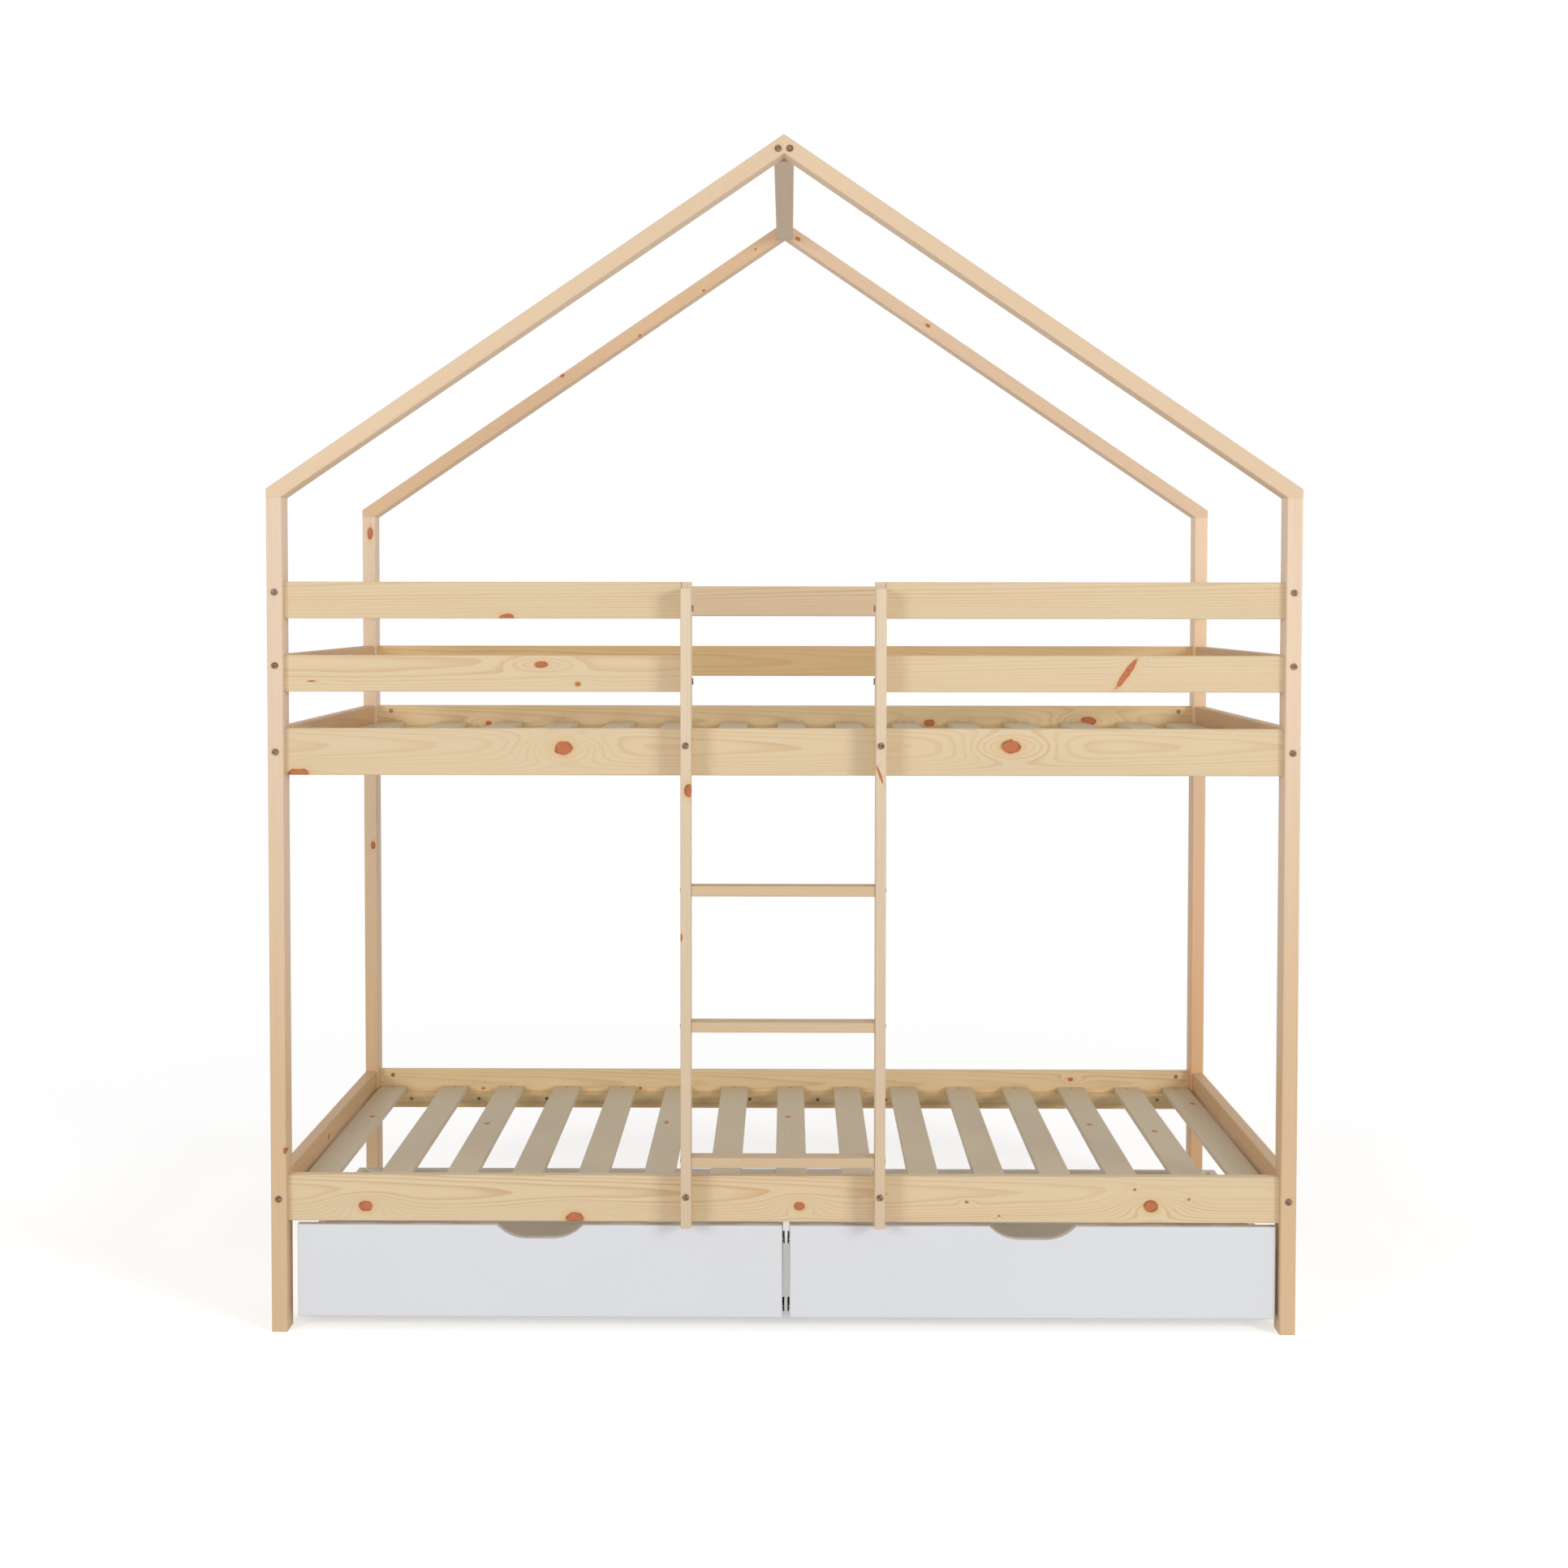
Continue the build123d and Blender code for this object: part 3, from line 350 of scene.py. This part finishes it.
# knots: x (y on a cross board) and z of the middle, half length, half width and, if leaning, tilt in degrees
# marked knots: number of the slat, place along and across it, half length and half width
mm = 0.001
otherSlatShift = 5.0  # on every other slat a marked knot lies this far off, past the slat's end
boards = {
    "post_front_left": {**postWood, "seed": 1.3, "knots": [(-957, 352, 6, 3)]},
    "post_front_right": {**postWood, "seed": 2.9},
    "post_rear_left": {**postWood, "seed": 4.1, "knots": [(-967, 1568, 15, 6), (-964, 838, 9, 5)]},
    # a lighter early tone is painted light from the right lamp, and its stronger tint towards the floor is
    # painted shade
    "post_rear_right": {**postWood, "seed": 5.7, "early": (249, 219, 186), "floorShadeTint": (0.87, 0.71, 0.57)},
    "ridge_beam": {**ridgeWood, "seed": 6.1},
    "guard_front_left_top": {**guardWood, "seed": 7.4, "knots": [(-529, 1377, 14, 7)]},
    "guard_front_left_mid": {
        **guardWood, "seed": 8.8, "across": 0.02,
        "knots": [(-463, 1287, 13, 6), (-393, 1250, 5, 4), (-902, 1255, 8, 1.5)],
    },
    "guard_front_right_top": {**guardWood, "seed": 9.2},
    "guard_front_right_mid": {**guardWood, "seed": 10.6, "knots": [(655, 1272, 34, 6, 55)]},
    "guard_rear_top": {**guardWood, "seed": 11.9, "early": (238, 212, 178)},
    "guard_rear_mid": {
        **guardWood, "seed": 12.3, "early": (232, 200, 150), "late": (204, 152, 96),
        "across": 0.0, "wavy": 0.03, "contrast": 0.8,
    },
    "guard_end_left_mid": {**endWood, "seed": 13.5},
    "guard_end_left_top": {**endWood, "seed": 14.2},
    "guard_end_right_mid": {**endWood, "seed": 15.8},
    "guard_end_right_top": {**endWood, "seed": 16.4},
    "guard_upright_left": {**ladderWood, "seed": 17.7},
    "guard_upright_right": {**ladderWood, "seed": 18.1},
    "upper_rail_front": {
        **railWood, "seed": 19.6,
        "knots": [(-421, 1127, 17, 13), (435, 1131, 18, 13), (-928, 1079, 20, 8)],
    },
    "upper_rail_rear": {
        **railWood, "seed": 20.2, "early": (239, 213, 168),
        "knots": [(-695, 1123, 7, 5), (340, 1125, 13, 8), (713, 1130, 17, 10)],
    },
    "upper_end_left": {**endWood, "seed": 21.4},
    "upper_end_right": {**endWood, "seed": 22.7},
    "lower_rail_front": {
        **railWood, "seed": 23.1, "contrast": 0.75,
        "knots": [
            (-804, 242, 13, 10), (-401, 219, 17, 12), (32, 244, 10, 8), (708, 246, 14, 11),
            (354, 253, 3, 2.5), (677, 278, 3, 2.5), (416, 226, 2.5, 2), (781, 259, 3, 2.5),
        ],
    },
    "lower_rail_rear": {
        **railWood, "seed": 24.9, "early": (240, 213, 168),
        "knots": [(-710, 259, 4, 3), (-339, 260, 4, 3), (676, 283, 6, 4)],
    },
    "lower_end_left": {**endWood, "seed": 25.3, "knots": [(-62, 277, 9, 6)]},
    "lower_end_right": {**endWood, "seed": 26.8},
    "upper_cleats": {**cleatWood, "seed": 27.2},
    "lower_cleats": {**cleatWood, "seed": 28.6},
    "upper_slats": {**slatWood, "seed": 29.4},
    "lower_slats": {**slatWood, "seed": 30.9, "markedKnots": [(2, 103, 9, 14, 4.5)]},
    "ladder_stile_left": {**ladderWood, "seed": 31.5, "knots": [(-176, 1050, 13, 11), (-194, 771, 7, 3)]},
    "ladder_stile_right": {**ladderWood, "seed": 32.1, "knots": [(183, 1080, 17, 2.2, 20)]},
    "ladder_rungs": {**rungWood, "seed": 33.7},
    "rafter_front_left": {**rafterWood, "seed": 34.4, "lean": 1},
    "rafter_front_right": {**rafterWood, "seed": 35.2, "lean": -1},
    "rafter_rear_left": {
        **rafterWood, "seed": 36.8, "lean": 1, "early": (232, 196, 158),
        "knots": [(-517, 1934, 5, 3.5), (-337, 2027, 4, 2.5), (-188, 2131, 4, 2.5), (-68, 2226, 3, 2)],
    },
    "rafter_rear_right": {
        **rafterWood, "seed": 37.6, "lean": -1, "early": (234, 204, 172),
        "knots": [(30, 2250, 6, 4), (332, 2050, 6, 4)],
    },
    "dowels": {**ladderWood, "seed": 38.3, "early": (206, 172, 128)},
}


def placedKnots(board, turn, middle):
    # knots that are given by their place on the whole bed
    knots = []
    for side, height, halfLong, halfWide, *tilt in board.get("knots", []):
        spot = Vector((side * mm, middle.y, height * mm))
        if board["grain"] == north:
            spot = Vector((middle.x, side * mm, height * mm))
        knots.append({
            "Place": turn @ (spot - middle), "Half Length": halfLong * mm, "Half Width": halfWide * mm,
            "Tilt": -math.radians(tilt[0]) if tilt else 0.0,
        })
    return knots


def rowKnots(tree, board, row):
    # knots on single boards of a row, and one by chance on any board
    knots = []
    for number, along, across, halfLong, halfWide in board.get("markedKnots", []):
        fromSlat = calc(tree, "ABSOLUTE", calc(tree, "SUBTRACT", row["Number"], float(number)))
        placeAlong = calc(tree, "MULTIPLY_ADD", fromSlat, otherSlatShift, along * mm)
        knotPlace = put(tree, "CombineXYZ", {"X": placeAlong, "Y": across * mm}).outputs[0]
        knots.append({
            "Place": knotPlace, "Half Length": halfLong * mm, "Half Width": halfWide * mm, "Tilt": 0.0,
        })
    if "chanceKnot" in board:
        chance = board["chanceKnot"]
        placeAlong = sway(tree, row["Chance"], chance["range"])
        knotPlace = put(tree, "CombineXYZ", {"X": placeAlong, "Y": chance["across"]}).outputs[0]
        knots.append({
            "Place": knotPlace, "Half Length": chance["halfLong"], "Half Width": chance["halfWide"],
            "Tilt": 0.0,
        })
    return knots


def pineMaterial(name, board):
    material, tree, shader = newMaterial("pine_" + name)
    low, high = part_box(name)
    middle, size = (low + high) / 2, high - low
    grain, face = board["grain"], board["face"]
    halfLength = max(abs(size[axis] * grain[axis]) for axis in range(3)) / 2
    if "lean" in board:
        grain = Vector((math.cos(slope), 0, board["lean"] * math.sin(slope)))
        # leaning boards get no painted shadow at their ends
        halfLength = pineLook["noEndShadowLength"]
    across = face.cross(grain)
    turn = Matrix((grain, across, face))
    objectCoords = put(tree, "TexCoord").outputs["Object"]
    sockets = {"Vector": objectCoords, "Location": -(turn @ middle), "Rotation": turn.to_euler()}
    vector = put(tree, "Mapping", sockets).outputs[0]
    seed = board["seed"]
    knots = placedKnots(board, turn, middle)
    if "row" in board:
        start, pitch = board["row"]
        start = 0.0 if start is None else start - middle.dot(across)
        row = useGroup(tree, boardRow, {"Vector": vector, "Start": start, "Pitch": pitch})
        vector = row["Vector"]
        seed = calc(tree, "MULTIPLY_ADD", row["Number"], pineLook["seedStep"], seed)
        knots += rowKnots(tree, board, row)

    faceHeight = abs(size.dot(face)) / 2
    marks = dict.fromkeys(("Bulge", *knotMarks), 0.0)
    for knot in knots:
        out = useGroup(tree, pineKnot, {"Vector": vector, "Face Height": faceHeight, **knot, **marks})
        marks = {mark: out[mark] for mark in marks}
    wood = useGroup(tree, pineGrain, {
        "Vector": vector, "Bulge": marks.pop("Bulge"), "Seed": seed,
        "Pith Across": board["across"], "Pith Behind": board["behind"], "Taper": board["taper"],
        "Ring Gap": board["gap"], "Waviness": board["wavy"], "Half Length": halfLength,
        "Early": screen(*board["early"]), "Late": screen(*board["late"]), "Contrast": board["contrast"],
    })
    color = wood["Color"]
    if knots:
        color = useGroup(tree, knotColor, {"Vector": vector, "Wood": color, **marks})["Color"]
    # painted shade: the full tint below tintFrom, fading out by tintTo, so the board is darker and warmer
    # towards the floor
    if "floorShadeTint" in board:
        height = put(tree, "SeparateXYZ", {0: objectCoords}).outputs["Z"]
        nearFloor = spread(tree, height, board["tintFrom"], board["tintTo"], 1.0, 0.0)
        color = blendColors(tree, nearFloor, color, (*board["floorShadeTint"], 1.0), "MULTIPLY")
    fill(tree, shader, {
        "Base Color": color, "Roughness": wood["Roughness"], "Specular IOR Level": pineLook["specular"],
        "Normal": bumpNormal(tree, wood["Height"], pineLook["bumpStrength"], pineLook["bumpDistance"]),
    })
    return material


def dress(name, material):
    for slot in nodes[name].material_slots:
        slot.material = material


for name, board in boards.items():
    dress(name, pineMaterial(name, board))
print("pine boards dressed:", len(boards))

# painted drawers: a blotchy tone, brush marks and the fine peel of a sprayed coat
paint = {
    # edge is a warmer tint for faces not turned to the front or back: painted warm bounce light
    "white": (228, 230, 234), "edge": (226, 218, 214), "panel": (250, 242, 228), "inside": (248, 243, 234),
    "blotchSize": 5.0, "blotchShade": 0.035, "blotchRoughness": 0.12,
    "peelSize": 420.0, "brushStretch": (12.0, 260.0, 260.0), "brushShade": 0.02, "brushHeight": 0.6,
    "edgeFrom": 0.5, "edgeEnd": 0.95,
    "roughness": 0.34, "specular": 0.4, "bumpStrength": 0.3, "bumpDistance": 0.00005,
}


def paintMaterial(name, color, edgeBounceColor):
    material, tree, shader = newMaterial(name)
    coords = put(tree, "TexCoord").outputs
    blotch = cloud(tree, coords["Object"], (paint["blotchSize"],) * 3, seed=1.0, detail=3.0)
    peel = cloud(tree, coords["Object"], (paint["peelSize"],) * 3, seed=2.0, detail=1.0)
    brush = cloud(tree, coords["Object"], paint["brushStretch"], seed=3.0)
    # painted warm bounce light: faces turned up, down or sideways, not to the front or back, take the warmer
    # edge colour
    facing = put(tree, "SeparateXYZ", {0: coords["Normal"]}).outputs["Y"]
    edgeBounceMask = spread(tree, calc(tree, "ABSOLUTE", facing), paint["edgeFrom"], paint["edgeEnd"], 1.0, 0.0)
    tinted = blendColors(tree, edgeBounceMask, screen(*color), screen(*edgeBounceColor))
    value = sway(tree, blotch, paint["blotchShade"], 1.0)
    value = sway(tree, brush, paint["brushShade"], value)
    height = calc(tree, "MULTIPLY_ADD", brush, paint["brushHeight"], peel)
    fill(tree, shader, {
        "Base Color": put(tree, "HueSaturation", {"Value": value, "Color": tinted}).outputs[0],
        "Roughness": calc(tree, "MULTIPLY_ADD", blotch, paint["blotchRoughness"], paint["roughness"]),
        "Specular IOR Level": paint["specular"],
        "Normal": bumpNormal(tree, height, paint["bumpStrength"], paint["bumpDistance"]),
    })
    return material


whitePaint = paintMaterial("white_paint", paint["white"], paint["edge"])
# inner walls and bottom panel use inside and panel, lighter and warmer than the front: painted bounce light
# inside the drawer
wallPaint = paintMaterial("white_wall_paint", paint["inside"], paint["inside"])
whiteBoard = paintMaterial("white_fibreboard", paint["panel"], paint["panel"])

# metal and plastic: coarse noise between two colours and fine noise for the surface
# roughBy says which of the two noises makes the gloss uneven
metalLook = {
    "metallic": 1.0, "coarse": 220.0, "coarseDetail": 3.0, "wornFrom": 0.35, "wornFull": 0.7,
    "fineDetail": 2.0, "roughBy": "fine", "bumpStrength": 0.25,
}
plasticLook = {
    "metallic": 0.0, "coarse": 140.0, "coarseDetail": 4.0, "wornFrom": 0.5, "wornFull": 0.75,
    "fine": 1500.0, "fineDetail": 1.0, "roughBy": "coarse", "bumpStrength": 0.4,
}
fittings = {
    "bolt_bronze": {**metalLook, "base": (104, 80, 64), "worn": (168, 142, 120), "rough": 0.34, "fine": 900.0},
    "nut_zinc": {**metalLook, "base": (150, 136, 112), "worn": (196, 186, 166), "rough": 0.38, "fine": 800.0},
    "screw_zinc": {**metalLook, "base": (108, 90, 70), "worn": (160, 142, 116), "rough": 0.4, "fine": 900.0},
    "axle_steel": {**metalLook, "base": (176, 176, 178), "worn": (206, 206, 208), "rough": 0.3, "fine": 700.0},
    "castor_black": {**plasticLook, "base": (42, 42, 44), "worn": (66, 66, 68), "rough": 0.5},
    "castor_wheel": {**plasticLook, "base": (54, 54, 57), "worn": (88, 88, 90), "rough": 0.62},
}
roughSpread = 0.2
fittingBumpDistance = 0.0001


def fittingMaterial(name, look):
    material, tree, shader = newMaterial(name)
    coords = put(tree, "TexCoord").outputs["Object"]
    noise = {
        "coarse": cloud(tree, coords, (look["coarse"],) * 3, seed=1.0, detail=look["coarseDetail"]),
        "fine": cloud(tree, coords, (look["fine"],) * 3, seed=2.0, detail=look["fineDetail"]),
    }
    worn = spread(tree, noise["coarse"], look["wornFrom"], look["wornFull"])
    fill(tree, shader, {
        "Base Color": blendColors(tree, worn, screen(*look["base"]), screen(*look["worn"])),
        "Metallic": look["metallic"],
        "Roughness": sway(tree, noise[look["roughBy"]], roughSpread, look["rough"]),
        "Normal": bumpNormal(tree, noise["fine"], look["bumpStrength"], fittingBumpDistance),
    })
    return material


fitting = {name: fittingMaterial(name, look) for name, look in fittings.items()}
dress("frame_bolts", fitting["bolt_bronze"])
dress("barrel_nuts", fitting["nut_zinc"])
dress("frame_screws", fitting["screw_zinc"])
for side in ("left", "right"):
    drawer = "drawer_" + side
    dress(drawer + "_front", whitePaint)
    for wall in ("side_left", "side_right", "back"):
        dress(f"{drawer}_{wall}", wallPaint)
    dress(drawer + "_bottom", whiteBoard)
    dress(drawer + "_castors", fitting["castor_black"])
    dress(drawer + "_axles", fitting["axle_steel"])
    dress(drawer + "_screws", fitting["screw_zinc"])
    for row in ("front", "rear"):
        dress(f"{drawer}_wheels_{row}", fitting["castor_wheel"])
print("drawers and fittings dressed")

# floor, light and camera
studio = {
    "floorSize": 60.0, "floorColor": (250, 250, 250), "floorRoughness": 0.9, "floorSpecular": 0.1,
    "fadeFrom": 1.5, "fadeTo": 3.4, "floorGlow": 0.45, "worldStrength": 0.46,
    "leftLamp": (-5.0, -6.2, 2.9), "rightLamp": (5.9, -5.9, 3.1), "lampSize": 2.2, "lampAim": (0, 0, 1.0),
    "leftPower": 150.0, "rightPower": 220.0,
}
view = {
    "place": (0.00938, -4.55960, 1.40117), "yaw": 0.4088, "pitch": 2.0206, "roll": 0.0522,
    "sensor": 36.0, "lens": 49.298, "shiftX": 0.00701, "shiftY": -0.06582,
}


def cameraOnly(tree):
    # 1 where the camera looks, straight or through a reflection or glass
    path = put(tree, "LightPath").outputs
    seen = calc(tree, "MAXIMUM", path["Is Camera Ray"], path["Is Glossy Ray"])
    return calc(tree, "MAXIMUM", seen, path["Is Transmission Ray"])


bpy.ops.mesh.primitive_plane_add(size=studio["floorSize"])
floor = bpy.context.object
floor.name = "studio_floor"
floorMaterial, tree, floorShader = newMaterial("studio_floor")
fill(tree, floorShader, {
    "Base Color": screen(*studio["floorColor"]), "Roughness": studio["floorRoughness"],
    "Specular IOR Level": studio["floorSpecular"],
})
seen = cameraOnly(tree)
fromMiddle = put(tree, "VectorMath", {0: put(tree, "TexCoord").outputs["Object"]}, operation="LENGTH")
far = spread(tree, fromMiddle.outputs["Value"], studio["fadeFrom"], studio["fadeTo"])
glow = put(tree, "Emission", {"Strength": calc(tree, "MULTIPLY", seen, studio["floorGlow"])})
lifted = put(tree, "AddShader", {0: floorShader.outputs[0], 1: glow.outputs[0]})
white = put(tree, "Emission", {"Strength": 1.0})
sockets = {0: calc(tree, "MULTIPLY", far, seen), 1: lifted.outputs[0], 2: white.outputs[0]}
mixed = put(tree, "MixShader", sockets)
tree.links.new(mixed.outputs[0], tree.nodes["Material Output"].inputs["Surface"])
floor.data.materials.append(floorMaterial)

world = bpy.context.scene.world or bpy.data.worlds.new("studio")
bpy.context.scene.world = world
world.use_nodes = True
tree = world.node_tree
level = spread(tree, cameraOnly(tree), 0.0, 1.0, studio["worldStrength"], 1.0, "LINEAR")
fill(tree, tree.nodes["Background"], {"Color": (1, 1, 1, 1), "Strength": level})

for name in ("left", "right"):
    place = Vector(studio[name + "Lamp"])
    lamp = bpy.data.lights.new(name + "_softbox", "AREA")
    lamp.shape = "SQUARE"
    lamp.size = studio["lampSize"]
    lamp.energy = studio[name + "Power"]
    lampObject = bpy.data.objects.new(name + "_softbox", lamp)
    bpy.context.scene.collection.objects.link(lampObject)
    lampObject.location = place
    lampObject.rotation_euler = (Vector(studio["lampAim"]) - place).to_track_quat("-Z", "Y").to_euler()

camera = bpy.data.objects.new("camera", bpy.data.cameras.new("camera"))
bpy.context.scene.collection.objects.link(camera)
camera.data.sensor_width = view["sensor"]
camera.data.lens = view["lens"]
camera.data.shift_x = view["shiftX"]
camera.data.shift_y = view["shiftY"]
turn = Matrix.Rotation(math.radians(view["yaw"]), 4, "Z")
turn = turn @ Matrix.Rotation(math.radians(90 - view["pitch"]), 4, "X")
turn = turn @ Matrix.Rotation(math.radians(view["roll"]), 4, "Z")
camera.matrix_world = Matrix.Translation(view["place"]) @ turn
bpy.context.scene.camera = camera
bpy.context.scene.view_settings.view_transform = "Standard"
print("floor, light and camera ready")
